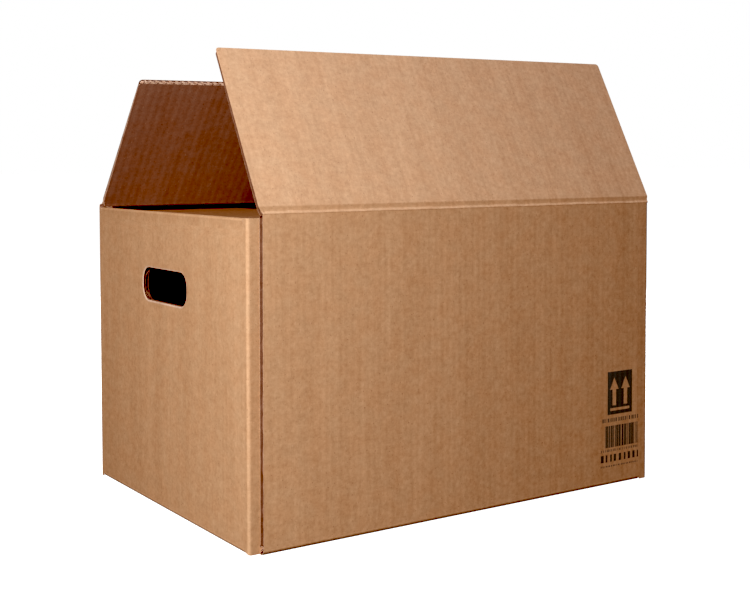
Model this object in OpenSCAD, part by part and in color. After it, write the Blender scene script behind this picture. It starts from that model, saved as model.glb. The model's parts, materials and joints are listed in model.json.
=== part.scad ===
// Shipping box: one slotted and folded sheet of double wall corrugated board.
// The long walls run along X, the ends face -X and +X, and the box stands on z = 0.
// Both long top flaps are raised and turn on their folds. The end flaps are folded in.

/* [Box] */
// Length over the end walls
box_l = 427; // [360:1:600]
// Width over the long walls
box_w = 312; // [200:1:400]
// Height from the table to the fold of the long top flaps
box_h = 268; // [180:1:400]

/* [Board] */
// Thickness of the board
board_t = 6; // [4:0.5:8]
// Outer radius of the level folds
fold_r = 4; // [1:0.5:5]
// Outer radius of the upright folds
corner_r = 3; // [1:0.5:5]

/* [Long top flaps] */
// How far each long flap stops short of the middle when it is shut
flap_short = 7; // [1:0.5:20]
// Lean of the front flap, inward from upright
front_lean = 28; // [0:1:60]
// Lean of the back flap, inward from upright
back_lean = 40; // [0:1:60]
// Front flap's left end, in from the end wall's face
front_flap_left = 7; // [0:0.5:20]
// Front flap's right end, in from the end wall's face
front_flap_right = 0; // [0:0.5:20]
// Back flap's two ends, in from the end walls' faces
back_flap_in = 5; // [0:0.5:20]
// Rounding of the flaps' free corners
flap_tip_r = 3; // [1:0.5:12]
// Free play at the flaps' folds
hinge_gap = 0.3; // [0.2:0.05:0.5]

/* [End flaps and bottom] */
// Space between an end flap and the walls beside it
side_gap = 1; // [0.5:0.5:4]
// Space between a shut long flap and the end flaps under it
layer_gap = 0.35; // [0.2:0.05:1]
// How far the end flaps lie below their own fold
end_flap_drop = 1.5; // [0:0.5:3]
// Length of board that comes down from the fold to the end flap
crown_l = 14; // [8:1:40]
// Seam left open between the two long bottom flaps
bottom_seam = 2; // [0.5:0.5:8]
// Long bottom flaps' ends, in from the end walls' faces
bottom_end_in = 10; // [8:0.5:20]
// Height of the slots' ends above the table
slot_z = 1; // [0.5:0.5:3]

/* [Glued joint] */
// Front wall's cut edge, in from the end wall's face
joint_edge = 10.5; // [6:0.5:15]
// Width of the glue tab behind the front wall
tab_w = 32; // [20:1:60]
// Height that each slanted end of the tab gives up
tab_slant = 10; // [2:1:30]

/* [Handholes] */
// Width of a handhole
hole_w = 90; // [60:1:130]
// Height of a handhole
hole_h = 29; // [20:1:45]
// Corner radius of a handhole
hole_r = 12; // [4:0.5:15]
// Handhole's upper edge, below the fold of the long flaps
hole_drop = 57; // [30:1:90]
// Handhole's centre, back from the middle of the end wall
hole_shift = 4; // [-20:1:20]

/* [Flutes] */
// Wave length of the outer fluting
outer_pitch = 6.4; // [5:0.1:10]
// Wave length of the inner fluting
inner_pitch = 7.8; // [5:0.1:10]
// Share of the board taken by the outer fluting
outer_share = 0.42; // [0.3:0.01:0.7]
// Thickness of each liner
liner_t = 0.5; // [0.3:0.05:0.8]
// Thickness of the waved paper, along the wave
wave_t = 0.9; // [0.4:0.1:1.5]
// Depth to which the flutes stand open at a cut edge
flute_depth = 3; // [1:0.5:10]

/* [Hidden] */
$fn = 48;

half_l = box_l / 2;
half_w = box_w / 2;
flap_len = half_w - flap_short;
// The long flaps turn on lines that lie half the free play outside the walls
hinge_y = half_w + hinge_gap / 2;
shut_under = box_h - hinge_gap / 2 - board_t;
ridge_z = shut_under - layer_gap;
end_top = ridge_z - end_flap_drop;
wall_top = box_h - hinge_gap;
tab_inner = half_w - 2 * board_t;
// How far a cut runs past what it cuts, and how far joined parts run into each other
over = 5;
lap = 1;
board_colour = [0.74, 0.56, 0.38];

// What an outer rounding takes off a square corner at the origin
module fold_relief(r) {
    difference() {
        translate([-over, -over]) square([over + r, over + r]);
        translate([r, r]) circle(r);
    }
}

// A section drawn in Y and Z, run along X from x0 to x1
module along_x(x0, x1) {
    translate([x0, 0, 0]) rotate([90, 0, 90]) linear_extrude(x1 - x0) children();
}

// A section drawn in X and Z, run along Y from y0 to y1
module along_y(y0, y1) {
    translate([0, y1, 0]) rotate([90, 0, 0]) linear_extrude(y1 - y0) children();
}

module rounded_rect(w, h, r) {
    square([w - 2 * r, h], center = true);
    square([w, h - 2 * r], center = true);
    for (x = [-1, 1], y = [-1, 1]) translate([x * (w / 2 - r), y * (h / 2 - r)]) circle(r);
}

// The four walls from above. At the near left corner the end wall folds in and laps
// behind the front wall, whose cut edge stands clear of the corner.
module wall_section() {
    difference() {
        union() {
            difference() {
                rounded_rect(box_l, box_w, corner_r);
                square([box_l - 2 * board_t, box_w - 2 * board_t], center = true);
            }
            translate([-half_l, -half_w + board_t]) square([joint_edge + lap, board_t]);
        }
        translate([-half_l - over, -half_w - over]) square([over + joint_edge, over + board_t]);
        translate([-half_l, -half_w + board_t]) fold_relief(corner_r);
    }
}

// Everything above the walls: level over the ends, sloped back under both long flaps
module above_walls() {
    slope = wall_top - ridge_z;
    along_x(-half_l - over, half_l + over)
        polygon([
            [-half_w - over, wall_top + over], [-half_w + slope, ridge_z],
            [half_w - slope, ridge_z], [half_w + over, wall_top + over],
            [half_w + over, box_h + 2 * over], [-half_w - over, box_h + 2 * over]
        ]);
}

// Near and far side of an end flap. The one beside the glue tab stops at the tab.
function flap_near(at_joint) = at_joint ? -tab_inner + side_gap : -half_w + board_t + side_gap;
function flap_far() = half_w - board_t - side_gap;

// Slots that part an end flap's fold from the walls beside it
module end_slots(at_joint) {
    near = flap_near(at_joint) - side_gap;
    deep = flap_far() + side_gap - near;
    translate([-over, near, ridge_z - fold_r]) cube([over + board_t + lap, deep, 2 * over + fold_r]);
    translate([-over, near, -over]) cube([over + board_t + lap, deep, over + fold_r]);
}

module handhole() {
    translate([0, hole_shift, box_h - hole_drop - hole_h / 2])
        along_x(-over, board_t + over) rounded_rect(hole_w, hole_h, hole_r);
}

module walls() {
    difference() {
        translate([0, 0, slot_z]) linear_extrude(box_h - slot_z) wall_section();
        above_walls();
        translate([-half_l, 0, 0]) end_slots(true);
        translate([half_l, 0, 0]) mirror([1, 0, 0]) end_slots(false);
        translate([-half_l + bottom_end_in - side_gap, -half_w - over, -over])
            cube([box_l - 2 * bottom_end_in + 2 * side_gap, box_w + 2 * over, over + fold_r]);
        translate([-half_l, 0, 0]) handhole();
        translate([half_l, 0, 0]) mirror([1, 0, 0]) handhole();
    }
}

// Glue tab: the end wall's sheet, turned in and glued to the front wall's inside
module glue_tab() {
    low = 2 * board_t + side_gap;
    far = joint_edge + tab_w;
    translate([-half_l, 0, 0]) along_y(-half_w + board_t, -tab_inner)
        polygon([
            [joint_edge - lap, low], [joint_edge, low], [far, low + tab_slant],
            [far, end_top - board_t - tab_slant], [joint_edge, end_top - board_t],
            [joint_edge - lap, end_top - board_t]
        ]);
}

// Voids between the liners and a waved paper, seen on a cut edge that is w wide
module fluting(w, pitch, height) {
    half = pitch / 2 - wave_t / 2;
    rise = height * 2 * half / pitch;
    count = floor(w / pitch - 0.5);
    for (i = [0 : count - 1]) {
        x = (w - count * pitch) / 2 + (i + 0.25) * pitch;
        polygon([[x - half, 0], [x + half, 0], [x, rise]]);
        polygon([[x + pitch / 2 - half, height], [x + pitch / 2, height - rise], [x + pitch / 2 + half, height]]);
    }
}

// Both rows of voids, from the board's outer face inward
module board_voids(w) {
    outer_h = outer_share * board_t - liner_t;
    inner_h = board_t - outer_h - 3 * liner_t;
    translate([0, liner_t]) fluting(w, outer_pitch, outer_h);
    translate([0, outer_h + 2 * liner_t]) fluting(w, inner_pitch, inner_h);
}

// End flap at the top: it comes over the fold, drops a little and lies level
module end_top_flap(near, far) {
    difference() {
        along_y(near, far) difference() {
            polygon([
                [0, ridge_z - fold_r - lap], [0, ridge_z], [fold_r, ridge_z], [crown_l, end_top],
                [flap_len, end_top], [flap_len, end_top - board_t], [board_t, end_top - board_t],
                [board_t, ridge_z - fold_r - lap]
            ]);
            translate([0, ridge_z]) mirror([0, 1]) fold_relief(fold_r);
        }
        translate([flap_len + lap, near, end_top]) rotate([-90, 0, 90])
            linear_extrude(flute_depth + lap) board_voids(far - near);
    }
}

// End flap at the bottom: it lies on the long bottom flaps, so it steps up past their ends
module end_bottom_flap(near, far) {
    step_l = bottom_end_in - side_gap / 2;
    along_y(near, far) difference() {
        polygon([
            [0, 2 * board_t + lap], [0, 0], [fold_r, 0], [step_l, board_t], [flap_len, board_t],
            [flap_len, 2 * board_t], [board_t, 2 * board_t], [board_t, 2 * board_t + lap]
        ]);
        fold_relief(fold_r);
    }
}

// Long bottom flap, drawn from its wall's outer face towards the middle
module long_bottom_flap() {
    along_x(-half_l + bottom_end_in, half_l - bottom_end_in) difference() {
        polygon([
            [-half_w, board_t + lap], [-half_w, 0], [-bottom_seam / 2, 0], [-bottom_seam / 2, board_t],
            [-half_w + board_t, board_t], [-half_w + board_t, board_t + lap]
        ]);
        translate([-half_w, 0]) fold_relief(fold_r);
    }
}

// Long top flap, upright on its fold line: its face towards the outside is at low y
module long_flap(x0, x1) {
    face = hinge_gap / 2;
    difference() {
        along_x(x0, x1) polygon([
            [face, hinge_gap], [face, flap_len], [face + board_t, flap_len], [face + board_t, hinge_gap + board_t]
        ]);
        for (end = [0, 1]) translate([end == 0 ? x0 : x1, 0, flap_len]) mirror([end, 0, 0])
            along_y(face - lap, face + board_t + lap) mirror([0, 1]) fold_relief(flap_tip_r);
        translate([x0 + flap_tip_r, face, flap_len - flute_depth])
            linear_extrude(flute_depth + lap) board_voids(x1 - x0 - 2 * flap_tip_r);
    }
}

module box_body() {
    color(board_colour) union() {
        walls();
        glue_tab();
        translate([-half_l, 0, 0]) {
            end_top_flap(flap_near(true), flap_far());
            end_bottom_flap(flap_near(true), flap_far());
        }
        translate([half_l, 0, 0]) mirror([1, 0, 0]) {
            end_top_flap(flap_near(false), flap_far());
            end_bottom_flap(flap_near(false), flap_far());
        }
        long_bottom_flap();
        mirror([0, 1, 0]) long_bottom_flap();
    }
}

module front_flap() {
    color(board_colour) translate([0, -hinge_y, box_h]) rotate([-front_lean, 0, 0])
        long_flap(-half_l + front_flap_left, half_l - front_flap_right);
}

module back_flap() {
    color(board_colour) translate([0, hinge_y, box_h]) rotate([back_lean, 0, 0]) mirror([0, 1, 0])
        long_flap(-half_l + back_flap_in, half_l - back_flap_in);
}

box_body();
front_flap();
back_flap();
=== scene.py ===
# %% [markdown]
# # A shipping box of double wall board
#
# The real box is one flat sheet of corrugated board. It is slotted, creased, folded round and glued at
# one corner. So this lesson models board, and not boxes: every wall and flap is a piece of sheet whose
# two faces are known, and whatever shows at a cut edge, such as liners, flutes and the middle paper, is
# found by asking the sheet where that point lies.
#
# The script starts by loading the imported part, which fixes all sizes and places.

# %% Load the fixed frame
import json
import math

import bmesh
import bpy
import numpy as np
from mathutils import Matrix, Vector


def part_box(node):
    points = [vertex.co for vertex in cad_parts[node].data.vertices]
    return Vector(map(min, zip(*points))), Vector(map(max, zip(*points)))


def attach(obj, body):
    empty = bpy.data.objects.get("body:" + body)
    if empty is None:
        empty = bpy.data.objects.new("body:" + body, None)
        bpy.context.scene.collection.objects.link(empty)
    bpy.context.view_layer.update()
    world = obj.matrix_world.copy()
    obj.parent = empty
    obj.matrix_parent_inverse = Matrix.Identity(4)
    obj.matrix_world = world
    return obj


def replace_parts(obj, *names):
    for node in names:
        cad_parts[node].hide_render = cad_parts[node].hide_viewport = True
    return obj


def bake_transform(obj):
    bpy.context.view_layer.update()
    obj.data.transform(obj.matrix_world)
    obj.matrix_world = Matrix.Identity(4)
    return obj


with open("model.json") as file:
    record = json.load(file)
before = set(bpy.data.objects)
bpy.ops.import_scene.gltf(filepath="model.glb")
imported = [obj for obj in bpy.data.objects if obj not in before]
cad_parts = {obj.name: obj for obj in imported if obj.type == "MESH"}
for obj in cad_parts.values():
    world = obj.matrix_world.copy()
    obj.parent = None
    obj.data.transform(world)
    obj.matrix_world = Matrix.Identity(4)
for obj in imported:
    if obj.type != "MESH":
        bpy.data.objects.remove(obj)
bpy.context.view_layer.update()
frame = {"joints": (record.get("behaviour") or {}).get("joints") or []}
body_low, body_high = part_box("box_body")
joints = {joint["name"]: joint for joint in frame["joints"]}

# %% [markdown]
# ## Sizes
#
# The outer length and width come from the frame, and so do the lines that the long flaps turn on. What
# remains are the sizes of the board itself: its thickness, its liners and the two flutings. The outer
# fluting is finer than the inner one, as in most double wall board.

# %% Name the sizes, in metres
MM = 0.001
BOARD = 6 * MM
LINER = 0.4 * MM
WAVE_PAPER = 0.28 * MM
OUTER_PITCH, INNER_PITCH = 6.4 * MM, 7.8 * MM
MIDDLE = 2.75 * MM
GROOVE, TIP_GROOVE = 4 * MM, 1.8 * MM
COLUMN = 1.6 * MM
HALF_L, HALF_W = body_high.x, body_high.y
HINGE_Y = abs(joints["front_fold"]["pos_m"][1])
HINGE_Z = joints["front_fold"]["pos_m"][2]
RECESS = 0.2 * MM
CORNER_R = 3 * MM
FOLD_R = 4 * MM
print("box", HALF_L * 2, HALF_W * 2, "folds at", HINGE_Z)

# %% [markdown]
# ## A sheet that knows where its points lie
#
# A point of the board has three coordinates: a runs across the flutes, b runs along them and deep goes
# in from the outer liner. A Board keeps a grid of points for its outer face and one for its inner face.
# Anything else, such as a wave of paper 2 mm under the surface, is read off between the two. Because
# the folds are in the grids, all that is built on the sheet folds with it.

# %% Define the board
class Board:
    """A folded sheet. outer and inner hold a point for each line of b (rows) and a (columns)."""

    def __init__(self, a, b, outer, inner, start=0.0):
        self.a, self.b = np.asarray(a, float), np.asarray(b, float)
        self.outer, self.inner, self.start = outer, inner, start

    def at(self, a, b, deep):
        """The place of points of the board, between its faces or a little past its edges."""
        a, b, deep = np.broadcast_arrays(a, b, deep)
        i = np.clip(np.searchsorted(self.a, a) - 1, 0, len(self.a) - 2)
        j = np.clip(np.searchsorted(self.b, b) - 1, 0, len(self.b) - 2)
        u = ((a - self.a[i]) / (self.a[i + 1] - self.a[i]))[..., None]
        v = ((b - self.b[j]) / (self.b[j + 1] - self.b[j]))[..., None]
        k = (deep / BOARD)[..., None]

        def face(grid):
            low = (1 - u) * grid[j, i] + u * grid[j, i + 1]
            high = (1 - u) * grid[j + 1, i] + u * grid[j + 1, i + 1]
            return (1 - v) * low + v * high

        return (1 - k) * face(self.outer) + k * face(self.inner)


# %% [markdown]
# ## Collecting a mesh
#
# Work is a basket for vertices and faces. Each vertex remembers its place on the flat sheet, in an
# attribute that the paper's material reads later, so that fibres and flute lines stay on the board when
# a flap turns. Each face remembers which surface it is: outer liner, inner liner, cut board, or a face
# that takes a painted shade or a painted highlight.

# %% Define the basket for meshes
OUTSIDE, INSIDE, CUT, PAINTED_SHADE, PAINTED_HIGHLIGHT = range(5)


class Work:
    """Vertices and faces that become one mesh."""

    def __init__(self, board):
        self.board, self.count = board, 0
        self.points, self.sheet, self.faces, self.finish = [], [], [], []

    def add(self, a, b, deep):
        """Adds points of the board, and returns their numbers in the shape that they came in."""
        a, b, deep = np.broadcast_arrays(a, b, deep)
        self.points.append(self.board.at(a, b, deep).reshape(-1, 3))
        self.sheet.append(np.stack([a + self.board.start, b, deep], -1).reshape(-1, 3))
        numbers = np.arange(self.count, self.count + a.size).reshape(a.shape)
        self.count += a.size
        return numbers

    def quads(self, grid, finish, keep=None):
        """Faces between neighbours of a grid of numbers. keep says which of them are made."""
        corners = np.stack([grid[:-1, :-1], grid[:-1, 1:], grid[1:, 1:], grid[1:, :-1]], -1)
        corners = corners[keep] if keep is not None else corners.reshape(-1, 4)
        self.faces += corners.tolist()
        self.finish += [finish] * len(corners)

    def face(self, numbers, finish):
        self.faces.append([int(n) for n in numbers])
        self.finish.append(finish)

    def build(self, name, finishes, sharp=40):
        """The finished object, with its normals outward and its sharp edges marked."""
        mesh = bpy.data.meshes.new(name)
        mesh.from_pydata(np.vstack(self.points).tolist(), [], self.faces)
        mesh.polygons.foreach_set("material_index", self.finish)
        place = mesh.attributes.new("sheet", "FLOAT_VECTOR", "POINT")
        place.data.foreach_set("vector", np.vstack(self.sheet).astype(np.float32).ravel())
        for finish in finishes:
            mesh.materials.append(finish)
        shape = bmesh.new()
        shape.from_mesh(mesh)
        bmesh.ops.recalc_face_normals(shape, faces=shape.faces)
        shape.to_mesh(mesh)
        shape.free()
        mesh.shade_smooth()
        mesh.set_sharp_from_angle(angle=math.radians(sharp))
        piece = bpy.data.objects.new(name, mesh)
        bpy.context.scene.collection.objects.link(piece)
        print(name, len(mesh.vertices), "vertices", len(mesh.polygons), "faces")
        return piece


# %% [markdown]
# ## From sheet to solid
#
# A board is two skins of liner with air and waved paper between them. Modelling it as a solid block
# would lose what makes a cut edge of board look like one. So the slab gets a groove along each free
# edge, between the liners, and the flutes are made as real waved ribbons that stand in the groove. A
# side that joins the next piece of board has no groove: one flat face closes it.

# %% Build the slab with its grooves
SIDES = ("bottom", "right", "top", "left")


def slab(work, free, window=None, highlight_cells=None, pressed=0):
    """Both faces of a board and its edges.

    window is a block of cells left open, for a hole. highlight_cells marks cells on a fold, which take a
    painted highlight. pressed is how many rows of the inner face a crease has crushed; they take a
    painted shade."""
    board = work.board
    a, b = np.meshgrid(board.a, board.b)
    outer, inner = work.add(a, b, 0), work.add(a, b, BOARD)
    keep = np.ones((len(board.b) - 1, len(board.a) - 1), bool)
    if window:
        keep[window] = False
    fold = np.zeros(keep.shape, bool)
    if highlight_cells is not None:
        fold[highlight_cells] = True
    work.quads(outer, OUTSIDE, keep & ~fold)
    work.quads(outer, PAINTED_HIGHLIGHT, keep & fold)
    work.quads(inner[pressed:, ::-1], INSIDE, keep[pressed:, ::-1])
    # The pressed rows inside a crease take the painted shade.
    work.quads(inner[:pressed + 1, ::-1], PAINTED_SHADE)
    inset_a, inset_b = np.zeros(a.shape), np.zeros(a.shape)
    inset_a[:, 0] += GROOVE * ("left" in free)
    inset_a[:, -1] -= GROOVE * ("right" in free)
    inset_b[0] += TIP_GROOVE * ("bottom" in free)
    inset_b[-1] -= TIP_GROOVE * ("top" in free)
    lines = {"bottom": np.s_[0, :], "right": np.s_[:, -1], "top": np.s_[-1, ::-1], "left": np.s_[::-1, 0]}
    known = {}

    def chain(n, i, j):
        """Numbers of a cut edge's profile at one vertex, from the outer face to the inner one."""
        if n not in known:
            at_a, at_b = a[j, i], b[j, i]
            in_a, in_b = at_a + inset_a[j, i], at_b + inset_b[j, i]
            steps = work.add(
                np.array([at_a, in_a, in_a, at_a]), np.array([at_b, in_b, in_b, at_b]),
                np.array([LINER, LINER, BOARD - LINER, BOARD - LINER]))
            known[n] = [n, *steps.tolist(), inner[j, i]]
        return known[n]

    rows, columns = np.indices(a.shape)
    for side in SIDES:
        near, far = outer[lines[side]], inner[lines[side]]
        at = list(zip(near.tolist(), columns[lines[side]].tolist(), rows[lines[side]].tolist()))
        moved = (inset_a != 0) | (inset_b != 0)
        if side in free:
            profile = np.array([chain(*k) for k in at])
            work.quads(profile[:, :2], CUT)
            # The groove's walls between the liners take the painted shade.
            work.quads(profile[:, 1:5], PAINTED_SHADE)
            work.quads(profile[:, 4:], CUT)
        else:
            first = chain(*at[0])[1:-1] if moved[at[0][2], at[0][1]] else []
            last = chain(*at[-1])[1:-1] if moved[at[-1][2], at[-1][1]] else []
            work.face([*near, *last, *far[::-1], *first[::-1]], CUT)
    return outer, inner


# %% Make ribbons of waved paper and the middle liner
def wave_depth(a, outer):
    """How deep a waved paper lies at a point across the board."""
    top, low = (LINER, MIDDLE - LINER / 2) if outer else (MIDDLE + LINER / 2, BOARD - LINER)
    swing = (low - top - WAVE_PAPER) / 2
    pitch = OUTER_PITCH if outer else INNER_PITCH
    return (top + low) / 2 + swing * np.cos(2 * math.pi * a / pitch)


def ribbon(work, a, b, deep, thick, finish):
    """A thin closed strip of paper. The grids a, b and deep give its middle surface."""
    over, under = work.add(a, b, deep - thick / 2), work.add(a, b, deep + thick / 2)
    work.quads(over, finish)
    work.quads(under[:, ::-1], finish)
    rim = [np.s_[0, :], np.s_[:, -1], np.s_[-1, ::-1], np.s_[::-1, 0]]
    for line in rim:
        work.quads(np.stack([under[line], over[line]]), finish)


def flutes_at(work, a, b, into_a, into_b, seed, crushed):
    """Both waves and the middle paper along a cut line. into_a and into_b point into the board."""
    sideways = np.abs(into_a).max() > 0
    low, high = (1.2, 2.6) if crushed and sideways else (0.05, 0.35)
    # Crushed side papers take the painted shade, the others the plain cut board.
    finish = PAINTED_SHADE if crushed and sideways else CUT
    worn = np.random.default_rng(seed).uniform(low, high, (3, len(a))) * MM
    steps = np.linspace(0, 1, 6 if sideways else 2)[:, None]
    floor = GROOVE if sideways else TIP_GROOVE
    drift = work.board.start + 0.002 * b[None, :]
    for paper in range(3):
        reach = worn[paper] + (floor - worn[paper]) * steps
        at_a, at_b = a + reach * into_a, b + reach * into_b
        if paper < 2:
            ribbon(work, at_a, at_b, wave_depth(at_a + drift, paper == 0), WAVE_PAPER, finish)
        else:
            ribbon(work, at_a, at_b, np.full(at_a.shape, MIDDLE), LINER, finish)


def flutes(board, name, edges, crushed=False):
    """The papers that show at a board's cut edges. edges lists (side, from, to) in the board's metres.

    crushed is true where the slots' knives have pressed the papers back from the side edges; there the
    side papers also take a painted shade."""
    work = Work(board)
    for number, (side, start, stop) in enumerate(edges):
        level = side in ("bottom", "top")
        count = max(2, int(abs(stop - start) / ((0.8 if level else 6) * MM)))
        along = np.linspace(start, stop, count)
        line = {"left": board.a[0], "right": board.a[-1], "bottom": board.b[0], "top": board.b[-1]}[side]
        sign = 1 if side in ("left", "bottom") else -1
        across = np.full(count, line)
        none, into = np.zeros(count), np.full(count, float(sign))
        if level:
            flutes_at(work, along, across, none, into, number, crushed)
        else:
            flutes_at(work, across, along, into, none, number, crushed)
    return work.build(name, FINISHES)


# %% [markdown]
# ## Surface shape of the liners
#
# A liner is glued to the flutes' crests and sinks a little between them. On the real box this
# washboard is about a tenth of a millimetre deep, and it is what gives the walls their faint upright
# lines. The faces also bow very slightly, as board does once it has been folded. Both only sink inward.

# %% Washboard and bow
OUTER_DIP, INNER_DIP = 0.07 * MM, 0.11 * MM
BOW = 0.5 * MM


def dip(a, outer=True):
    """How far a liner sinks at a point across the flutes."""
    pitch, deep = (OUTER_PITCH, OUTER_DIP) if outer else (INNER_PITCH, INNER_DIP)
    return deep * (0.5 - 0.5 * np.cos(2 * math.pi * a / pitch))


def lines(start, stop, extra=()):
    """Column places: a crest or a quarter of a wave every 1.6 mm, the two ends and any extra ones."""
    inner_lines = np.arange(math.ceil(start / COLUMN + 0.4), math.floor(stop / COLUMN - 0.4) + 1) * COLUMN
    near = [x for x in inner_lines if all(abs(x - e) > 0.5 * MM for e in extra)]
    return np.array(sorted([start, *near, *extra, stop]))


# %% [markdown]
# ## Kraft paper
#
# Kraft liner is brown, matt and never even: it has cloudy patches from the pulp, short fibres in all
# directions, a few dark specks, and soft lines where the flutes lie under it. The colours are mixed
# from noise in the sheet's own coordinates. Math nodes are tiresome to write one by one, so a small
# class turns Python expressions into nodes.

# %% A small language for shader nodes
class Value:
    """A socket that can be used in an expression. Each operation adds a Math node."""

    def __init__(self, finish, socket):
        self.finish, self.socket = finish, socket

    def math(self, operation, *numbers):
        inputs = dict(enumerate(numbers))
        return self.finish.add("ShaderNodeMath", {"operation": operation}, inputs)

    def __add__(self, other):
        return self.math("ADD", self, other)

    def __sub__(self, other):
        return self.math("SUBTRACT", self, other)

    def __rsub__(self, other):
        return self.math("SUBTRACT", other, self)

    def __mul__(self, other):
        return self.math("MULTIPLY", self, other)

    def __truediv__(self, other):
        return self.math("DIVIDE", self, other)

    def __pow__(self, other):
        return self.math("POWER", self, other)

    __radd__, __rmul__ = __add__, __mul__

    def clamp(self, low, high):
        """0 at low and below, 1 at high and above."""
        inputs = {"Value": self, "From Min": low, "From Max": high}
        return self.finish.add("ShaderNodeMapRange", {"clamp": True}, inputs)


class Finish:
    """A material with one Principled shader."""

    def __init__(self, name, **constants):
        self.material = bpy.data.materials.new(name)
        self.material.use_nodes = True
        self.tree = self.material.node_tree
        self.shader = self.tree.nodes["Principled BSDF"]
        for socket, value in constants.items():
            self.shader.inputs[socket.replace("_", " ")].default_value = value

    def socket(self, sockets, name):
        if isinstance(name, int):
            return sockets[name]
        return next(s for s in sockets if s.enabled and name in (s.identifier, s.name))

    def add(self, kind, settings=None, inputs=None, output=0):
        """A node of any kind: its settings first, then the values or links of its sockets."""
        node = self.tree.nodes.new(kind)
        for name, value in (settings or {}).items():
            setattr(node, name, value)
        for name, value in (inputs or {}).items():
            socket = self.socket(node.inputs, name)
            if isinstance(value, Value):
                self.tree.links.new(value.socket, socket)
            else:
                socket.default_value = value
        return Value(self, self.socket(node.outputs, output))

    def mix(self, factor, one, other, blend="MIX"):
        settings = {"data_type": "RGBA", "blend_type": blend}
        inputs = {"Factor_Float": factor, "A_Color": one, "B_Color": other}
        return self.add("ShaderNodeMix", settings, inputs, "Result_Color")

    def scaled(self, vector, factors):
        inputs = {0: vector, 1: factors}
        return self.add("ShaderNodeVectorMath", {"operation": "MULTIPLY"}, inputs, "Vector")

    def noise(self, vector, scale, detail=2.0, rough=0.5):
        inputs = {"Vector": vector, "Scale": scale, "Detail": detail, "Roughness": rough}
        return self.add("ShaderNodeTexNoise", None, inputs, "Fac")

    def use(self, **links):
        for name, value in links.items():
            self.tree.links.new(value.socket, self.shader.inputs[name.replace("_", " ")])
        return self.material


# %% Mix the kraft liners
def kraft(name, light, dark, tint=(1.0, 0.955, 0.93), rough=0.8):
    """Brown liner paper. light and dark are the ends of its mottling, tint a second hue in it."""
    paper = Finish(name, Roughness=rough)
    paper.shader.inputs["Specular IOR Level"].default_value = 0.3
    place = paper.add("ShaderNodeAttribute", {"attribute_name": "sheet"}, None, "Vector")
    speckle = paper.noise(place, 620, 3, 0.65)
    mottle = paper.noise(place, 300, 2, 0.5)
    cloud = paper.noise(place, 120, 2, 0.5)
    upright = paper.noise(paper.scaled(place, (900, 200, 1)), 1, 2, 0.6)
    level = paper.noise(paper.scaled(place, (200, 800, 1)), 1, 2, 0.6)
    streak = paper.noise(paper.scaled(place, (300, 10, 1)), 1, 2, 0.6)
    band = paper.noise(paper.scaled(place, (42, 4, 1)), 1, 2, 0.5)
    tone = speckle * 0.16 + mottle * 0.22 + cloud * 0.19 + upright * 0.1
    tone = tone + level * 0.07 + streak * 0.1 + band * 0.16
    colour = paper.mix(tone.clamp(0.39, 0.61), (*dark, 1), (*light, 1))
    hue = paper.noise(place, 55, 2, 0.5).clamp(0.36, 0.64)
    colour = paper.mix(hue * 0.7, colour, (*tint, 1), "MULTIPLY")
    speck = paper.noise(paper.scaled(place, (620, 520, 1)), 1, 1, 0.5).clamp(0.69, 0.75)
    colour = paper.mix(speck * 0.4, colour, (0.16, 0.08, 0.04, 1))
    pale = paper.noise(paper.scaled(place, (1100, 260, 1)), 1, 1, 0.5).clamp(0.7, 0.78)
    colour = paper.mix(pale * 0.3, colour, (0.72, 0.5, 0.34, 1))
    height = speckle * 0.4 + upright * 0.35 + level * 0.25
    bump = {"Height": height, "Strength": 0.3, "Distance": 0.0003}
    return paper.use(Base_Color=colour, Normal=paper.add("ShaderNodeBump", None, bump, "Normal"))


KRAFT_OUT = kraft("kraft_outside", (0.575, 0.363, 0.218), (0.43, 0.263, 0.153))
# A paler copy of the outer liner: a painted highlight along folds and corner bends.
KRAFT_PAINTED_HIGHLIGHT = kraft("kraft_creased", (0.595, 0.378, 0.229), (0.46, 0.284, 0.167))
KRAFT_IN = kraft("kraft_inside", (0.345, 0.23, 0.168), (0.285, 0.186, 0.133))
RAW = kraft("cut_board", (0.66, 0.47, 0.35), (0.46, 0.31, 0.21), rough=0.9)
# A darker copy of the cut board: painted shade for the groove walls, the papers round the handhole, the crushed
# side flutes and the pressed rows inside a fold.
CUT_PAINTED_SHADE = kraft("cut_board_shade", (0.27, 0.165, 0.11), (0.18, 0.108, 0.07), rough=0.95)
FINISHES = [KRAFT_OUT, KRAFT_IN, RAW, CUT_PAINTED_SHADE, KRAFT_PAINTED_HIGHLIGHT]
print("materials", [m.name for m in FINISHES])

# %% [markdown]
# ## Long walls
#
# A long wall runs up to the bead of the fold, 3.5 mm under the line that its flap turns on. Its inner
# face ends lower, where the crease is pressed in. Its foot ends where the bottom flap's fold begins. The
# front wall's left edge is the cut edge at the glued joint, and it slants a little as it rises.

# %% Shape a flat wall between two heights
ROOT = 3.5 * MM
TOP_OUT, TOP_IN = HINGE_Z - ROOT, HINGE_Z - BOARD - 0.15 * MM
FOOT_OUT, FOOT_IN = FOLD_R, 8 * MM
SEAM = 200 * MM
JOINT_EDGE, JOINT_SLANT = -HALF_L + 10.5 * MM, 1.8 * MM


def between(b, low, high, foot, top, ease=20 * MM):
    """Heights of rows b, with the lowest and highest rows moved to foot and top."""
    z = np.array(b, float)
    lower, upper = b < low + ease, b > high - ease
    z[lower] = foot + (b[lower] - low) * (low + ease - foot) / ease
    z[upper] = high - ease + (b[upper] - high + ease) * (top - high + ease) / ease
    return z


def bow(u, v):
    """0 at the rim of a wall and 1 in its middle. u and v run from 0 to 1."""
    return np.sin(math.pi * np.clip(u, 0, 1)) * np.sin(math.pi * np.clip(v, 0, 1))


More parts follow.
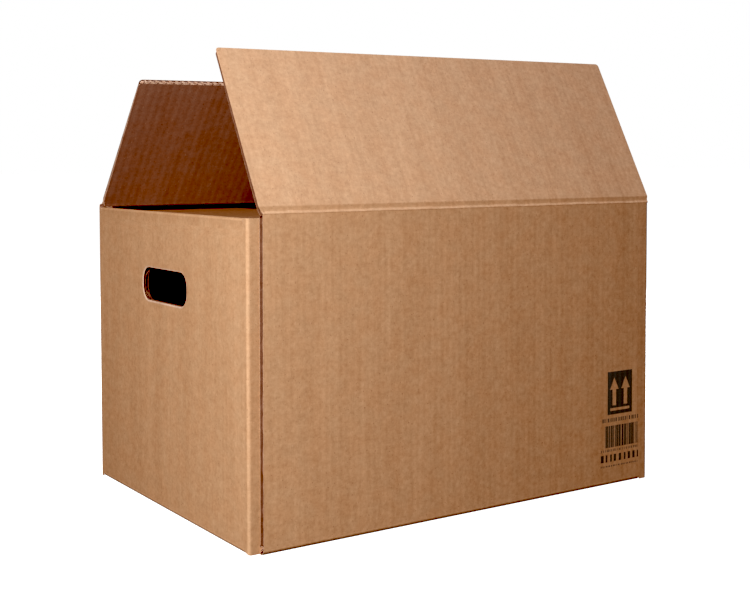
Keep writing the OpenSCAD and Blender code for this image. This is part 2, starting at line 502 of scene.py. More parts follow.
def long_wall(x0, x1, side):
    """Front (side -1) or back (side 1) wall from x0 to x1."""
    x, b = lines(x0, x1), np.linspace(FOOT_OUT, TOP_OUT, 22)
    sag = BOW * bow((x[None, :] + HALF_L) / (2 * HALF_L), b[:, None] / TOP_OUT)
    outer = np.zeros((len(b), len(x), 3))
    inner = outer.copy()
    outer[..., 0] = inner[..., 0] = x
    outer[..., 1] = side * (HALF_W - RECESS - dip(x) - sag)
    inner[..., 1] = side * (HALF_W - BOARD + dip(x, False) - sag)
    outer[..., 2] = b[:, None]
    inner[..., 2] = between(b, FOOT_OUT, TOP_OUT, FOOT_IN, TOP_IN)[:, None]
    if side < 0:
        pull = JOINT_SLANT * np.clip(1 - (x - x0) / (20 * MM), 0, 1)
        for grid in (outer, inner):
            grid[..., 0] += pull * grid[..., 2] / HINGE_Z
    return Board(x, b, outer, inner, start=0.7 if side > 0 else 0.0)


front_wall = long_wall(JOINT_EDGE, SEAM, -1)
back_wall = long_wall(-SEAM, SEAM, 1)
for name, board, free in (("front_wall", front_wall, ("left",)), ("back_wall", back_wall, ())):
    work = Work(board)
    slab(work, free)
    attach(work.build(name, FINISHES), "box")
edges = [("left", FOOT_OUT, TOP_OUT)]
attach(flutes(front_wall, "front_wall_flutes", edges, True), "box")

# %% [markdown]
# ## End walls with their corners
#
# An end wall carries both of its upright corners. In plan its outer face follows a path with corners of
# 3 mm radius, while its inner face has tight creases. Both paths get the same number of points, so
# that each point of one has its partner in the other. At the near left corner the path turns in behind
# the front wall and becomes the glue tab. Cells on a bend take a paler finish, a painted highlight
# where the rounded corner catches the light.

# %% Lay out a path with rounded corners
def corner_path(corners, radius, steps, counts):
    """Points along straight runs joined by arcs. counts gives the number of cells in each run."""
    corners = [np.array(c, float) for c in corners]
    points, arcs = [], []
    for before, here, after in zip(corners, corners[1:], corners[2:]):
        back, on = (before - here), (after - here)
        back, on = back / np.linalg.norm(back), on / np.linalg.norm(on)
        centre = here + radius * (back + on)
        turn = np.linspace(0, math.pi / 2, steps + 1)[:, None]
        arcs.append(centre - radius * (on * np.cos(turn) + back * np.sin(turn)))
    stops = [corners[0], *[p for arc in arcs for p in (arc[0], arc[-1])], corners[-1]]
    for n, count in enumerate(counts):
        run = np.linspace(0, 1, count + 1)[:, None]
        straight = (1 - run) * stops[2 * n] + run * stops[2 * n + 1]
        points.append(straight if n == 0 else straight[1:])
        if n < len(arcs):
            points.append(arcs[n][1:])
    return np.vstack(points)


SIDE_GAP = 1 * MM
TAB_FACE = HALF_W - BOARD
FLAP_FAR = HALF_W - BOARD - SIDE_GAP
FLAP_NEAR = {-1: -(HALF_W - 2 * BOARD - SIDE_GAP), 1: -FLAP_FAR}
END_FOOT_IN = 14 * MM
END_TOP = 252 * MM
RIDGE_Z = HINGE_Z - BOARD - 0.5 * MM
SLOT_Z = 0.3 * MM
LEAN_IN = 1.4 * MM
BOTTOM_END = HALF_L - 10.8 * MM


def leaned(side, z):
    """The left end leans in a little as it rises, since its folded flap pulls on it."""
    return LEAN_IN * np.asarray(z) / HINGE_Z * (side < 0)


def end_wall(side, corners_out, corners_in, tab):
    """End wall at -X (side -1) or +X (side 1), from one seam round both corners to the other."""
    spans = [np.linalg.norm(np.subtract(p, q)) for p, q in zip(corners_out, corners_out[1:])]
    counts = [max(2, round(span / COLUMN)) for span in spans]
    outer_line = corner_path(corners_out, CORNER_R, 8, counts)
    inner_line = corner_path(corners_in, 0.8 * MM, 8, counts)
    step = np.linalg.norm(np.diff(outer_line, axis=0), axis=1)
    a = np.concatenate([[0], np.cumsum(step)])
    across = np.gradient(outer_line, a, axis=0)
    across /= np.linalg.norm(across, axis=1)[:, None]
    inward = np.stack([across[:, 1], -across[:, 0]], -1)
    inward *= np.sign(((inner_line - outer_line) * inward).sum(1))[:, None]
    on_end = np.abs(outer_line[:, 0]) > HALF_L - 0.01 * MM
    y = outer_line[:, 1]
    flap = on_end & (y > FLAP_NEAR[side]) & (y < FLAP_FAR)
    long_side = np.abs(outer_line[:, 0]) < HALF_L - CORNER_R
    if tab:
        long_side &= y > 0
    over_long = np.clip((np.abs(y) - HALF_W + CORNER_R) / CORNER_R, 0, 1)
    if tab:
        over_long *= y > 0
    on_bottom_flap = long_side & (np.abs(outer_line[:, 0]) < BOTTOM_END)
    hole_rows = np.arange(HOLE_Z - 30 * MM, HOLE_Z + 30.1 * MM, 3 * MM)
    low_rows = np.linspace(FOOT_OUT, hole_rows[0], 12)[:-1]
    b = np.concatenate([low_rows, hole_rows, np.linspace(hole_rows[-1], TOP_OUT, 5)[1:]])
    slot = SLOT_Z + 2.2 * MM * np.clip(1 + (FLAP_FAR - BOARD - np.abs(y)) / (7 * MM), 0, 1)
    foot_out = np.where(flap | on_bottom_flap, FOOT_OUT, slot)
    foot_in = np.where(flap, END_FOOT_IN, np.where(on_bottom_flap, FOOT_IN, SLOT_Z))
    top_out = np.where(flap, END_TOP, RIDGE_Z + (TOP_OUT - RIDGE_Z) * over_long)
    top_in = np.where(flap, END_TOP, np.where(long_side, TOP_IN, RIDGE_Z))
    sag = BOW * bow((y + HALF_W) / (2 * HALF_W), 0.5) * on_end
    sag = sag[None, :] * np.sin(math.pi * np.clip(b / TOP_OUT, 0, 1))[:, None]
    outer, inner = np.zeros((len(b), len(a), 3)), np.zeros((len(b), len(a), 3))
    recess = RECESS + dip(y) * on_end + dip(outer_line[:, 0]) * long_side
    outer[..., :2] = outer_line + inward * (recess[None, :] + sag)[..., None]
    lift = dip(y, False) * on_end + dip(outer_line[:, 0], False) * long_side
    inner[..., :2] = inner_line + inward * (sag - lift[None, :])[..., None]
    for n in range(len(a)):
        outer[:, n, 2] = between(b, b[0], b[-1], foot_out[n], top_out[n])
        inner[:, n, 2] = between(b, b[0], b[-1], foot_in[n], top_in[n])
    for grid in (outer, inner):
        loose = np.where(y < 0, 1, np.clip((np.abs(outer_line[:, 0]) - SEAM) / (HALF_L - SEAM), 0, 1))
        grid[..., 0] += leaned(side, grid[..., 2]) * loose
    return Board(a, b, outer, inner, start=1.4 + 0.5 * side)


# %% [markdown]
# ## Handholes
#
# The slot is punched through the end wall, so its rim shows both liners with the flutes between them.
# The grid leaves a window open, and rings of points lead from the window's rim to the slot's outline.

# %% Punch the handhole
HOLE_W, HOLE_H, HOLE_R = 90 * MM, 29 * MM, 12 * MM
HOLE_Y = 5.5 * MM
HOLE_Z = HINGE_Z - 57 * MM - HOLE_H / 2
RIM = ((1.5 * MM, 0), (0.9 * MM, 0.05 * MM), (0.35 * MM, 0.22 * MM), (0, 0.6 * MM))


def rounded_outline(angle):
    """Point of the slot's outline in the direction of each angle, from its centre."""
    x, y = np.cos(angle), np.sin(angle)
    reach = np.full(len(angle), 1.0)
    low, high = np.zeros(len(angle)), np.full(len(angle), HOLE_W)
    for _ in range(40):
        reach = (low + high) / 2
        over_x = np.abs(reach * x) - (HOLE_W / 2 - HOLE_R)
        over_y = np.abs(reach * y) - (HOLE_H / 2 - HOLE_R)
        away = np.hypot(np.maximum(over_x, 0), np.maximum(over_y, 0))
        away = away + np.minimum(np.maximum(over_x, over_y), 0)
        inside = away < HOLE_R
        low, high = np.where(inside, reach, low), np.where(inside, high, reach)
    return np.stack([reach * x, reach * y], -1)


def punch(work, outer, inner, centre_a, window):
    """Rings of faces from the window's rim to the slot, and the slot's grooved edge."""
    board = work.board
    (j0, j1), (i0, i1) = window
    rim = [(j0, i) for i in range(i0, i1)] + [(j, i1) for j in range(j0, j1)]
    rim += [(j1, i) for i in range(i1, i0, -1)] + [(j, i0) for j in range(j1, j0, -1)]
    rows, columns = np.array([r for r, _ in rim]), np.array([c for _, c in rim])
    at_a, at_b = board.a[columns] - centre_a, board.b[rows] - HOLE_Z
    outline = rounded_outline(np.arctan2(at_b, at_a))
    closed = np.append(np.arange(len(rim)), 0)
    ahead = np.roll(outline, -1, 0) - np.roll(outline, 1, 0)
    out = np.stack([ahead[:, 1], -ahead[:, 0]], -1) / np.linalg.norm(ahead, axis=1)[:, None]
    edges = []
    for skin, deep, finish in ((outer, 0, OUTSIDE), (inner, BOARD, INSIDE)):
        into = 1 if deep == 0 else -1
        rings = [skin[rows, columns]]
        for share in (0.35, 0.7, 0.95):
            a = centre_a + at_a * (1 - share) + (outline[:, 0] + 2.5 * MM * out[:, 0]) * share
            b = HOLE_Z + at_b * (1 - share) + (outline[:, 1] + 2.5 * MM * out[:, 1]) * share
            rings.append(work.add(a, b, deep))
        for away, sunk_by in RIM:
            a = centre_a + outline[:, 0] + away * out[:, 0]
            b = HOLE_Z + outline[:, 1] + away * out[:, 1]
            rings.append(work.add(a, b, deep + into * sunk_by))
        work.quads(np.stack(rings[:-3])[:, closed], finish)
        work.quads(np.stack(rings[-4:])[:, closed], CUT if deep == 0 else finish)
        edges.append(rings[-1])
    in_a, in_b = a + GROOVE * out[:, 0], b + GROOVE * out[:, 1]
    sunk_by = RIM[-1][1] + LINER
    steps = [edges[0], work.add(a, b, sunk_by), work.add(in_a, in_b, LINER)]
    steps += [work.add(in_a, in_b, BOARD - LINER), work.add(a, b, BOARD - sunk_by), edges[1]]
    # The slot's groove takes the painted shade.
    work.quads(np.stack(steps)[:, closed], PAINTED_SHADE)
    return a, b, out


def hole_flutes(board, name, a, b, out):
    """Waves and middle paper round the slot, all in the painted shade finish."""
    work = Work(board)
    fine = np.linspace(0, len(a), 4 * len(a) + 1)[:-1]
    knots = np.arange(len(a) + 1)

    def spread(values):
        return np.interp(fine, knots, np.append(values, values[0]))

    a, b, into_a, into_b = spread(a), spread(b), spread(out[:, 0]), spread(out[:, 1])
    worn = np.random.default_rng(7).uniform(0.5, 1.4, (3, len(a))) * MM
    steps = np.linspace(0, 1, 4)[:, None]
    for paper in range(3):
        reach = worn[paper] + (GROOVE - worn[paper]) * steps
        at_a, at_b = a + reach * into_a, b + reach * into_b
        deep = wave_depth(at_a + board.start, paper == 0) if paper < 2 else np.full(at_a.shape, MIDDLE)
        thick = WAVE_PAPER if paper < 2 else LINER
        over, under = work.add(at_a, at_b, deep - thick / 2), work.add(at_a, at_b, deep + thick / 2)
        closed = np.append(np.arange(len(a)), 0)
        work.quads(over[:, closed], PAINTED_SHADE)
        work.quads(under[:, closed[::-1]], PAINTED_SHADE)
        work.quads(np.stack([under[0], over[0]])[:, closed], PAINTED_SHADE)
        work.quads(np.stack([over[-1], under[-1]])[:, closed], PAINTED_SHADE)
    return work.build(name, FINISHES)


# %% Build both end walls
X0, Y0, Y_IN = HALF_L, HALF_W, HALF_W - BOARD
TAB_END = JOINT_EDGE + 32 * MM
LEFT_OUT = [(TAB_END, -TAB_FACE), (-X0, -TAB_FACE), (-X0, Y0), (-SEAM, Y0)]
LEFT_IN = [(TAB_END, BOARD - TAB_FACE), (BOARD - X0, BOARD - TAB_FACE), (BOARD - X0, Y_IN), (-SEAM, Y_IN)]
RIGHT_OUT = [(SEAM, Y0), (X0, Y0), (X0, -Y0), (SEAM, -Y0)]
RIGHT_IN = [(SEAM, Y_IN), (X0 - BOARD, Y_IN), (X0 - BOARD, -Y_IN), (SEAM, -Y_IN)]

for name, side, path_out, path_in in (
        ("left_end", -1, LEFT_OUT, LEFT_IN), ("right_end", 1, RIGHT_OUT, RIGHT_IN)):
    board = end_wall(side, path_out, path_in, side < 0)
    line = board.outer[20, :, :]
    on_end = np.abs(line[:, 0]) > HALF_L - LEAN_IN - 1 * MM
    middle = np.argmin(np.abs(line[:, 1] - HOLE_Y) + 9 * ~on_end)
    centre_a = board.a[middle]
    i0 = np.searchsorted(board.a, centre_a - HOLE_W / 2 - 8 * MM)
    i1 = np.searchsorted(board.a, centre_a + HOLE_W / 2 + 8 * MM)
    j0 = np.searchsorted(board.b, HOLE_Z - 22 * MM)
    j1 = np.searchsorted(board.b, HOLE_Z + 22 * MM)
    work = Work(board)
    free = ("left", "top", "bottom") if side < 0 else ("top", "bottom")
    step = np.abs(np.diff(line[:, :2], axis=0))
    bends = np.flatnonzero(step.min(1) > 0.45 * step.max(1))
    # The cells on the corner bends take the painted highlight.
    skins = slab(work, free, np.s_[j0:j1, i0:i1], np.s_[:, bends])
    a, b, out = punch(work, *skins, centre_a, ((j0, j1), (i0, i1)))
    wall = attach(work.build(name + "_wall", FINISHES), "box")
    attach(hole_flutes(board, name + "_hole_flutes", a, b, out), "box")
    if side < 0:
        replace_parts(wall, "box_body")

# %% [markdown]
# ## Flaps folded in at the ends and underneath
#
# These flaps don't move. Each one is a strip of board that leaves its wall, turns over a rounded fold
# and lies flat. A profile says how the outer and the inner face run, as distances in from the wall's
# outer face and heights, and the strip is that profile drawn out along the wall. The end flaps sag a
# little from their fold, since nothing holds them up.

# %% Draw a profile out along a wall
def arc(centre, radius, start, stop, steps=8):
    """Points of a circle between two angles in degrees."""
    turn = np.radians(np.linspace(start, stop, steps + 1))
    return [(centre[0] + radius * math.cos(t), centre[1] + radius * math.sin(t)) for t in turn]


def strip(profile_out, profile_in, low, high, put, start, tip_r=3 * MM, tip_only=True):
    """A board along a wall from low to high. put places (along, in, up) in the box's frame."""
    profile_out, profile_in = np.array(profile_out), np.array(profile_in)
    step = np.linalg.norm(np.diff(profile_out, axis=0), axis=1)
    b = np.concatenate([[0], np.cumsum(step)])
    a = lines(low, high)
    left = b[-1] - b
    inset = np.where(left < tip_r, tip_r - np.sqrt(np.maximum(tip_r**2 - (tip_r - left) ** 2, 0)), 0)
    margin = 10 * MM
    pull = np.clip(1 - (a - low) / margin, 0, 1) - np.clip(1 - (high - a) / margin, 0, 1)
    across = a[None, :] + inset[:, None] * pull[None, :]
    outer = put(across, profile_out[:, 0][:, None], profile_out[:, 1][:, None], dip(a), True)
    inner = put(across, profile_in[:, 0][:, None], profile_in[:, 1][:, None], dip(a, False), False)
    return Board(a, b, outer, inner, start=start)


def run(start, stop, count):
    """Points on a straight line, without its first one."""
    return [tuple(np.array(start) + (np.array(stop) - np.array(start)) * k / count) for k in range(1, count + 1)]


TIP_STEPS = np.array([3, 2.3, 1.6, 1.0, 0.5, 0.15, 0]) * MM


def to_tip(start, stop, count):
    """Straight rows up to a tip, close together where its corners are rounded."""
    start, stop = np.array(start), np.array(stop)
    length = np.linalg.norm(stop - start)
    far = [*np.linspace(0, length - TIP_STEPS[0], count + 1)[1:], *(length - TIP_STEPS[1:])]
    return [tuple(start + (stop - start) * d / length) for d in far]


FLAP_LEN = 149 * MM
CROWN = 14 * MM
END_DROP = 4.2 * MM
END_R = 2.6 * MM


def end_flap_profile():
    """Top flap of an end: up the wall, over its fold and level, with its inner face 6 mm under."""
    level, crease = RIDGE_Z - END_DROP, RIDGE_Z - BOARD - 1.5 * MM
    outer = [(RECESS, END_TOP), (RECESS, RIDGE_Z - END_R)]
    outer += arc((END_R, RIDGE_Z - END_R), END_R, 180, 90, 8)[1:]
    outer += run((END_R, RIDGE_Z), (CROWN, level), 4) + to_tip((CROWN, level), (FLAP_LEN, level), 16)
    under = level - BOARD
    inner = [(BOARD, END_TOP), (BOARD, crease - 0.5 * MM)]
    inner += arc((BOARD + 0.8 * MM, crease - 0.8 * MM), 0.8 * MM, 180, 90, 8)[1:]
    inner += run((BOARD + 0.8 * MM, crease), (CROWN, under), 4)
    inner += to_tip((CROWN, under), (FLAP_LEN, under), 16)
    return outer, inner


def end_bottom_profile():
    """Bottom flap of an end: round the fold, then up onto the long bottom flaps."""
    lift = BOARD + 0.05 * MM
    outer = [(RECESS, FOOT_OUT + 0.01 * MM)] + arc((FOLD_R, FOLD_R), FOLD_R, 180, 270, 8)[1:]
    outer += run((FOLD_R, 0), (9.5 * MM, lift), 4) + to_tip((9.5 * MM, lift), (FLAP_LEN, lift), 16)
    top = lift + BOARD
    inner = [(BOARD, END_FOOT_IN)] + arc((BOARD + 0.8 * MM, top + 0.8 * MM), 0.8 * MM, 180, 270, 8)[1:]
    inner += run((BOARD + 0.8 * MM, top), (9.5 * MM, top), 4) + to_tip((9.5 * MM, top), (FLAP_LEN, top), 16)
    return outer, inner


def long_bottom_profile():
    """Bottom flap of a long wall: round the fold and level to the seam in the middle."""
    stop = HALF_W - 1 * MM
    outer = [(RECESS, FOOT_OUT + 0.01 * MM)] + arc((FOLD_R, FOLD_R), FOLD_R, 180, 270, 8)[1:]
    outer += to_tip((FOLD_R, 0), (stop, 0), 16)
    inner = [(BOARD, FOOT_IN)] + arc((BOARD + 0.8 * MM, BOARD + 0.8 * MM), 0.8 * MM, 180, 270, 8)[1:]
    inner += to_tip((BOARD + 0.8 * MM, BOARD), (stop, BOARD), 16)
    return outer, inner


def sunk(inward, up, deep, outer):
    """A profile's points, moved by the washboard square to the surface."""
    line = np.hstack([inward, up])
    along = np.gradient(line, axis=0)
    along /= np.linalg.norm(along, axis=1)[:, None]
    square = np.stack([along[:, 1], -along[:, 0]], -1)
    return line[:, None, :] + square[:, None, :] * deep[None, :, None] * (1 if outer else -1)


def on_end(side, turn):
    """Places a strip along the end wall at side -1 or 1. turn is 1 where the sheet's outside is up."""

    def put(along, inward, up, deep, outer):
        line = sunk(inward, up, deep * turn, outer)
        x = side * (HALF_L - line[..., 0]) + leaned(side, line[..., 1])
        return np.stack([x, np.broadcast_to(along, x.shape), line[..., 1]], -1)

    return put


def on_long(side, turn):
    """Places a strip along the long wall at side -1 or 1."""

    def put(along, inward, up, deep, outer):
        line = sunk(inward, up, deep * turn, outer)
        y = side * (HALF_W - line[..., 0])
        return np.stack([np.broadcast_to(along, y.shape), y, line[..., 1]], -1)

    return put


SEAM_IN = 10 * MM
fixed = []
for side, word in ((-1, "left"), (1, "right")):
    low, high = FLAP_NEAR[side], FLAP_FAR
    fixed.append((f"{word}_end_flap", strip(*end_flap_profile(), low, high, on_end(side, 1), 2.4 + side)))
    fixed.append((f"{word}_bottom_flap", strip(*end_bottom_profile(), low, high, on_end(side, -1), 3.4 + side)))
for side, word in ((-1, "front"), (1, "back")):
    low, high = SEAM_IN - HALF_L, HALF_L - SEAM_IN
    fixed.append((f"{word}_bottom_flap", strip(*long_bottom_profile(), low, high, on_long(side, -1), 5.4 + side)))
for name, board in fixed:
    work = Work(board)
    # The end flaps' folds over the ridge take the painted highlight.
    slab(work, ("left", "right", "top"), highlight_cells=np.s_[3:8, :] if "end" in name else None)
    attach(work.build(name, FINISHES), "box")
    low, high = board.a[0] + 0.6 * MM, board.a[-1] - 0.6 * MM
    tall = board.b[-1] - GROOVE
    edges = [("top", low, high), ("left", 0.5 * MM, tall), ("right", 0.5 * MM, tall)]
    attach(flutes(board, name + "_flutes", edges, side < 0), "box")

# %% [markdown]
# ## Long flaps and their folds
#
# The long flaps move on their hinge lines; here each is built at one lean, and its fold does not bend.
# A real fold is a band a few millimetres wide: on the outside a bead and a flat band, on the inside
# liner that has buckled into the crease. The inner face runs from the wall's inner corner along the
# flap's plane. The knife that cuts a flap also crushes its side edges, so the liner that faces away
# there ends a little short.

# %% Shape a long flap with its fold
BAND = 3 * MM
HINGE_IN = HINGE_Y - HALF_W
EDGE_CRUSH = 2.2 * MM


def soft_step(t):
    """0 to 1 with flat ends."""
    t = np.clip(t, 0, 1)
    return t * t * (3 - 2 * t)


def wander(x):
    """An uneven wave between -1 and 1, for lines that a crease leaves less than straight."""
    return (np.sin(61 * x) + np.sin(143 * x + 2) + np.sin(337 * x + 4)) / 3


def long_flap(side, lean, x_left, x_right, wall_left, wall_right, slant, trim, start):
    """Long top flap at side -1 (front) or 1 (back), from its wall's bead to its tip.

    trim is how much shorter the left end of the flap is cut than its right end."""
    up = np.array([math.sin(lean), math.cos(lean)])
    deep = np.array([math.cos(lean), -math.sin(lean)])
    q = np.concatenate([np.arange(-ROOT, BAND + 0.75 * MM, 0.35 * MM), [5 * MM, 7.2 * MM]])
    b_far = np.concatenate([np.linspace(10 * MM, FLAP_LEN - TIP_STEPS[0], 17), FLAP_LEN - TIP_STEPS[1:]])
    base_in = HINGE_IN + RECESS
    wall_end = np.array([base_in, -BAND])
    flap_end = BAND * up + HINGE_IN * deep
    outer = []
    for d in [*q, *b_far]:
        share = (d + BAND) / (2 * BAND)
        bead = RECESS * math.exp(-(((d + 1.12 * BAND) / (0.6 * MM)) ** 2))
        if d < -BAND:
            point = np.array([base_in, d])
        elif d > BAND:
            point = d * up + HINGE_IN * deep
        else:
            inward = 0.85 * soft_step(share / 0.34) + 0.15 * share
            dent = 0.06 * MM * math.exp(-(((share - 0.6) / 0.18) ** 2))
            rise = (1 - share) * wall_end[1] + share * flap_end[1]
            point = np.array([wall_end[0] + (flap_end[0] - wall_end[0]) * inward + dent, rise])
        outer.append(point - np.array([bead, 0]))
    thick = BOARD + HINGE_IN
    corner, foot = np.array([thick, -thick]), np.array([base_in, -ROOT])
    slope = (corner - foot)[1] / (corner - foot)[0]
    on_face = thick * deep - foot
    pressed = -(on_face[1] - slope * on_face[0]) / (up[1] - slope * up[0]) + 0.25 * MM
    last = np.searchsorted(q, 7 * MM)
    inner = []
    for n, d in enumerate([*q, *b_far]):
        s = np.interp(n, [3, last], [pressed, thick])
        if n < 3:
            inner.append(corner + (pressed * up + thick * deep - corner) * n / 3)
        else:
            inner.append((s if n < last else max(d, thick)) * up + thick * deep)
    outer, inner = np.array(outer), np.array(inner)
    b = np.concatenate([q, b_far]) + ROOT
    a = lines(x_left, x_right)
    left = b[-1] - b
    inset = np.where(left < 3 * MM, 3 * MM - np.sqrt(np.maximum(9e-6 - (3 * MM - left) ** 2, 0)), 0)
    narrow = np.interp(b - ROOT, [-BAND, BAND, FLAP_LEN], [1, slant, 0])
    from_left = inset + narrow * (wall_left - x_left)
    from_right = inset + narrow * (x_right - wall_right)
    pull_left, pull_right = np.clip(1 - (a - x_left) / 0.01, 0, 1), np.clip(1 - (x_right - a) / 0.01, 0, 1)
    x = a[None, :] + from_left[:, None] * pull_left[None, :] - from_right[:, None] * pull_right[None, :]
    shorter = np.clip((b - ROOT) / FLAP_LEN, 0, 1)[:, None] * trim * ((x_right - a) / (x_right - x_left))
    crushed = EDGE_CRUSH * (pull_left - pull_right) * (1 - narrow[:, None])
    faces = []
    for line, outward in ((outer, True), (inner, False)):
        along = np.gradient(line, axis=0)
        along /= np.linalg.norm(along, axis=1)[:, None]
        square = np.stack([along[:, 1], -along[:, 0]], -1) * (1 if outward else -1)
        moved = line[:, None, :] + square[:, None, :] * dip(a, outward)[None, :, None]
        if outward:
            on_bead = np.exp(-(((b - ROOT + 0.6 * BAND) / (1.3 * MM)) ** 2))
            moved[..., 1] += 0.4 * MM * on_bead[:, None] * wander(a)[None, :]
        moved -= shorter[..., None] * up
        y = side * (HINGE_Y - moved[..., 0])
        faces.append(np.stack([x + crushed * (outward == (side > 0)), y, HINGE_Z + moved[..., 1]], -1))
    return Board(a, b, *faces, start=start)


def blend_fold(piece, side, lean):
    """Bakes a piece's transform into its mesh; the piece is not bent."""
    middle = Vector((0, side * HINGE_Y, HINGE_Z))
    up = Vector((0, -side * math.sin(lean / 2), math.cos(lean / 2)))
    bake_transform(piece)


FRONT_LEAN, BACK_LEAN = (
    math.radians(90 + joints[name]["range_deg"][0]) for name in ("front_fold", "back_fold"))
front_low, front_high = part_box("front_flap")
back_low, back_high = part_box("back_flap")
print("leans", round(math.degrees(FRONT_LEAN), 1), round(math.degrees(BACK_LEAN), 1))
front_flap = long_flap(
    -1, FRONT_LEAN, front_low.x + 0.4 * MM, front_high.x, JOINT_EDGE + JOINT_SLANT, HALF_L - 1 * MM,
    0.35, 3.8 * MM, 0.0)
back_flap = long_flap(
    1, BACK_LEAN, back_low.x - 0.8 * MM, back_high.x, back_low.x, back_high.x, 0.5, 4 * MM, 0.7)
for name, board, side, lean, child, node in (
        ("front_flap_board", front_flap, -1, FRONT_LEAN, "front", "front_flap"),
        ("back_flap_board", back_flap, 1, BACK_LEAN, "back", "back_flap")):
    work = Work(board)
    # The fold's outer cells take the painted highlight; the pressed rows inside take the painted shade.
    slab(work, ("left", "right", "top"), highlight_cells=np.s_[1:7, :], pressed=3)
    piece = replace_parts(work.build(name, FINISHES), node)
    blend_fold(piece, side, lean)
    low, high = board.a[0] + 0.6 * MM, board.a[-1] - 0.6 * MM
    tall = board.b[-1] - GROOVE
    edges = [("top", low, high), ("left", 0.5 * MM, tall), ("right", 0.5 * MM, tall)]
    papers = flutes(board, name + "_flutes", edges, side < 0)
    blend_fold(papers, side, lean)

# %% [markdown]
# ## Print
#
# The long wall carries a small block of dark print near its lower right corner. Its words and marks
# belong to a maker, so their place holds plain shapes of like size and tone: a tile with two arrows,
# a row of bars and a few dashes. Ink lies on the paper, so each shape is a thin skin that follows the washboard.

# %% Print on the front wall
ink = Finish("ink", Roughness=0.7)
place = ink.add("ShaderNodeAttribute", {"attribute_name": "sheet"}, None, "Vector")
worn = ink.noise(ink.scaled(place, (1500, 700, 1)), 1, 2, 0.6).clamp(0.52, 0.7)
INK = ink.use(Base_Color=ink.mix(worn * 0.35, (0.13, 0.152, 0.119, 1), (0.28, 0.2, 0.14, 1)))


def printed(work, x0, x1, z0, z1, finish=0, proud=0.04 * MM):
    """One rectangle of ink on the front wall. All four sides are in millimetres."""
    a = np.linspace(x0, x1, max(2, int((x1 - x0) / 0.8) + 1)) * MM
    b = np.linspace(z0, z1, max(2, int((z1 - z0) / 5) + 1)) * MM
    grid_a, grid_b = np.meshgrid(a, b)
    skin, back = work.add(grid_a, grid_b, -proud), work.add(grid_a, grid_b, 0.02 * MM)
    work.quads(skin, finish)
    work.quads(back[:, ::-1], finish)
    for line in (np.s_[0, :], np.s_[:, -1], np.s_[-1, ::-1], np.s_[::-1, 0]):
        work.quads(np.stack([back[line], skin[line]]), finish)


def row_of_marks(work, x0, x1, z0, z1, widths, gaps, seed):
    """Uneven upright marks from x0 to x1."""
    pick = np.random.default_rng(seed)
    x = x0
    while x < x1 - max(widths) / 2:
        wide = min(float(pick.choice(widths)), x1 - x)
        printed(work, x, x + wide, z0, z1)
        x += wide + float(pick.choice(gaps))


def arrow(work, x, z, wide, tall):
    """An upright arrow of bare board on the ink, built up from narrow bands."""
    head = 0.42 * tall
    printed(work, x - wide * 0.2, x + wide * 0.2, z, z + tall - head, 1, 0.08 * MM)
    bands = 14
    for n in range(bands):
        half = wide / 2 * (1 - (n + 0.5) / bands)
        low = z + tall - head + head * n / bands
        printed(work, x - half, x + half, low, low + head / bands, 1, 0.08 * MM)


work = Work(front_wall)
printed(work, 162, 193.5, 66.5, 107)
for x in (170.5, 185):
    arrow(work, x, 75, 11, 26)
printed(work, 165.5, 190, 70, 72.5, 1, 0.08 * MM)
row_of_marks(work, 155.5, 203, 59.5, 63.2, (0.7, 1.1, 1.5), (0.9, 1.2, 2.0), 3)
row_of_marks(work, 159, 203, 35.5, 56, (0.6, 1.0, 1.8, 2.4), (0.5, 0.8, 1.3), 11)
row_of_marks(work, 154, 203, 31.5, 33.8, (0.6, 0.9), (1.0, 1.4, 1.9), 5)
row_of_marks(work, 153.5, 203, 22, 28.8, (2.2, 3.0, 3.8), (2.4, 3.0, 3.6), 8)
row_of_marks(work, 153.5, 203, 17.2, 18.7, (0.6, 1.0), (1.0, 1.5), 13)
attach(work.build("print", [INK, KRAFT_OUT]), "box")

# %% [markdown]
# ## Light, floor and camera
#
# The photo is a studio shot on white. The tones of its faces fall off from the near corner as they would
# under one lamp, a little above the box and to the left of the camera, with a weaker soft box overhead.
# The overhead lamp is kept off the end flaps and the back flap, which lie in shade in the photo. A third
# lamp behind the box doesn't reach what the camera sees. It shows the back and the right end.
# The photo is also printed hard: dark browns are deeper and redder than light alone makes them. A raised
# black level does the same here. The floor glows a little, so that it reads as white paper out to the
# horizon and still takes a faint shadow.

# %% Stand the box on a pale floor under soft light
def soft_light(name, place, aim, size, power, colour=(1, 1, 1)):
    """A square area light that looks from place to aim."""
    light = bpy.data.lights.new(name, "AREA")
    light.shape, light.size, light.energy, light.color = "SQUARE", size, power, colour
    lamp = bpy.data.objects.new(name, light)
    lamp.location = place
    lamp.rotation_mode = "QUATERNION"
    lamp.rotation_quaternion = (Vector(aim) - Vector(place)).to_track_quat("-Z", "Y")
    lamp.visible_camera = False
    bpy.context.scene.collection.objects.link(lamp)
    return lamp


key = soft_light("key", (-1.05, -0.85, 0.62), (-0.15, -0.12, 0.2), 0.35, 23.8)
overhead = soft_light("overhead", (-0.1, -0.25, 1.9), (-0.05, -0.1, 0.3), 1.0, 17.8, (0.64, 0.76, 1))
soft_light("behind", (1.2, 1.0, 0.75), (0.1, 0.1, 0.15), 0.7, 27)


def keep_off(lamp, names):
    """Keeps a lamp's direct light off some pieces."""
    shaded = bpy.data.collections.new("not_under_" + lamp.name)
    lamp.light_linking.receiver_collection = shaded
    for name in names:
        shaded.objects.link(bpy.data.objects[name])
    for item in shaded.collection_objects:
        item.light_linking.link_state = "EXCLUDE"


keep_off(key, ["back_wall"])
end_flaps = [f"{word}_end_flap{part}" for word in ("left", "right") for part in ("", "_flutes")]
keep_off(overhead, end_flaps + ["back_flap_board"])

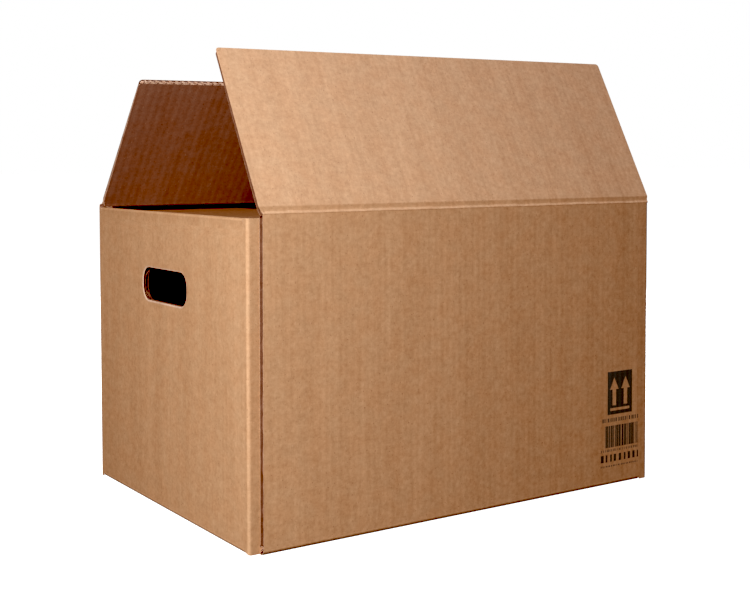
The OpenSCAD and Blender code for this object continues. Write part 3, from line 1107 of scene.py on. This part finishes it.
floor_mesh = bpy.data.meshes.new("floor")
floor_mesh.from_pydata([(-30, -30, 0), (30, -30, 0), (30, 30, 0), (-30, 30, 0)], [], [(0, 1, 2, 3)])
floor = bpy.data.objects.new("floor", floor_mesh)
floor.location.z = -0.2 * MM
paper = Finish("pale_floor", Base_Color=(0.9, 0.9, 0.9, 1), Roughness=0.95, Emission_Color=(1, 1, 1, 1))
paper.shader.inputs["Emission Strength"].default_value = 0.92
floor_mesh.materials.append(paper.material)
floor.visible_diffuse = floor.visible_glossy = False
bpy.context.scene.collection.objects.link(floor)

world = bpy.data.worlds.new("studio")
world.use_nodes = True
nodes, links = world.node_tree.nodes, world.node_tree.links
background, path = nodes["Background"], nodes.new("ShaderNodeLightPath")
background.inputs["Color"].default_value = (1, 1, 1, 1)
dim = nodes.new("ShaderNodeMapRange")
dim.inputs["To Min"].default_value, dim.inputs["To Max"].default_value = 0.12, 1.0
links.new(path.outputs["Is Camera Ray"], dim.inputs["Value"])
links.new(dim.outputs["Result"], background.inputs["Strength"])
bpy.context.scene.world = world

# %% Set the camera
FOCAL_PX, CENTRE_X, CENTRE_Y = 1235.25, 381.53, 228.06
PICTURE_W, PICTURE_H = 750, 600
CAMERA_AT = Vector((-652.02, -986.6, 304.92)) * MM
YAW, PITCH, ROLL = math.radians(33.972), math.radians(-3.116), math.radians(0.223)
ahead = Vector((math.sin(YAW) * math.cos(PITCH), math.cos(YAW) * math.cos(PITCH), math.sin(PITCH)))
level = Vector((math.cos(YAW), -math.sin(YAW), 0))
down = ahead.cross(level)
right = math.cos(ROLL) * level + math.sin(ROLL) * down
down = -math.sin(ROLL) * level + math.cos(ROLL) * down
camera = bpy.data.objects.new("camera", bpy.data.cameras.new("camera"))
bpy.context.scene.collection.objects.link(camera)
turned = Matrix((right, -down, -ahead)).transposed().to_4x4()
turned.translation = CAMERA_AT
camera.matrix_world = turned
camera.data.sensor_width = 36
camera.data.lens = FOCAL_PX * camera.data.sensor_width / PICTURE_W
camera.data.shift_x = (PICTURE_W / 2 - CENTRE_X) / PICTURE_W
camera.data.shift_y = (CENTRE_Y - PICTURE_H / 2) / PICTURE_W
camera.data.clip_start, camera.data.clip_end = 0.01, 100
bpy.context.scene.camera = camera
print("lens", round(camera.data.lens, 2), "shift", camera.data.shift_x, camera.data.shift_y)

# %% Print the picture hard
view = bpy.context.scene.view_settings
view.view_transform = "Standard"
view.use_curve_mapping = True
view.curve_mapping.black_level = (0.08, 0.1, 0.085)
view.curve_mapping.update()
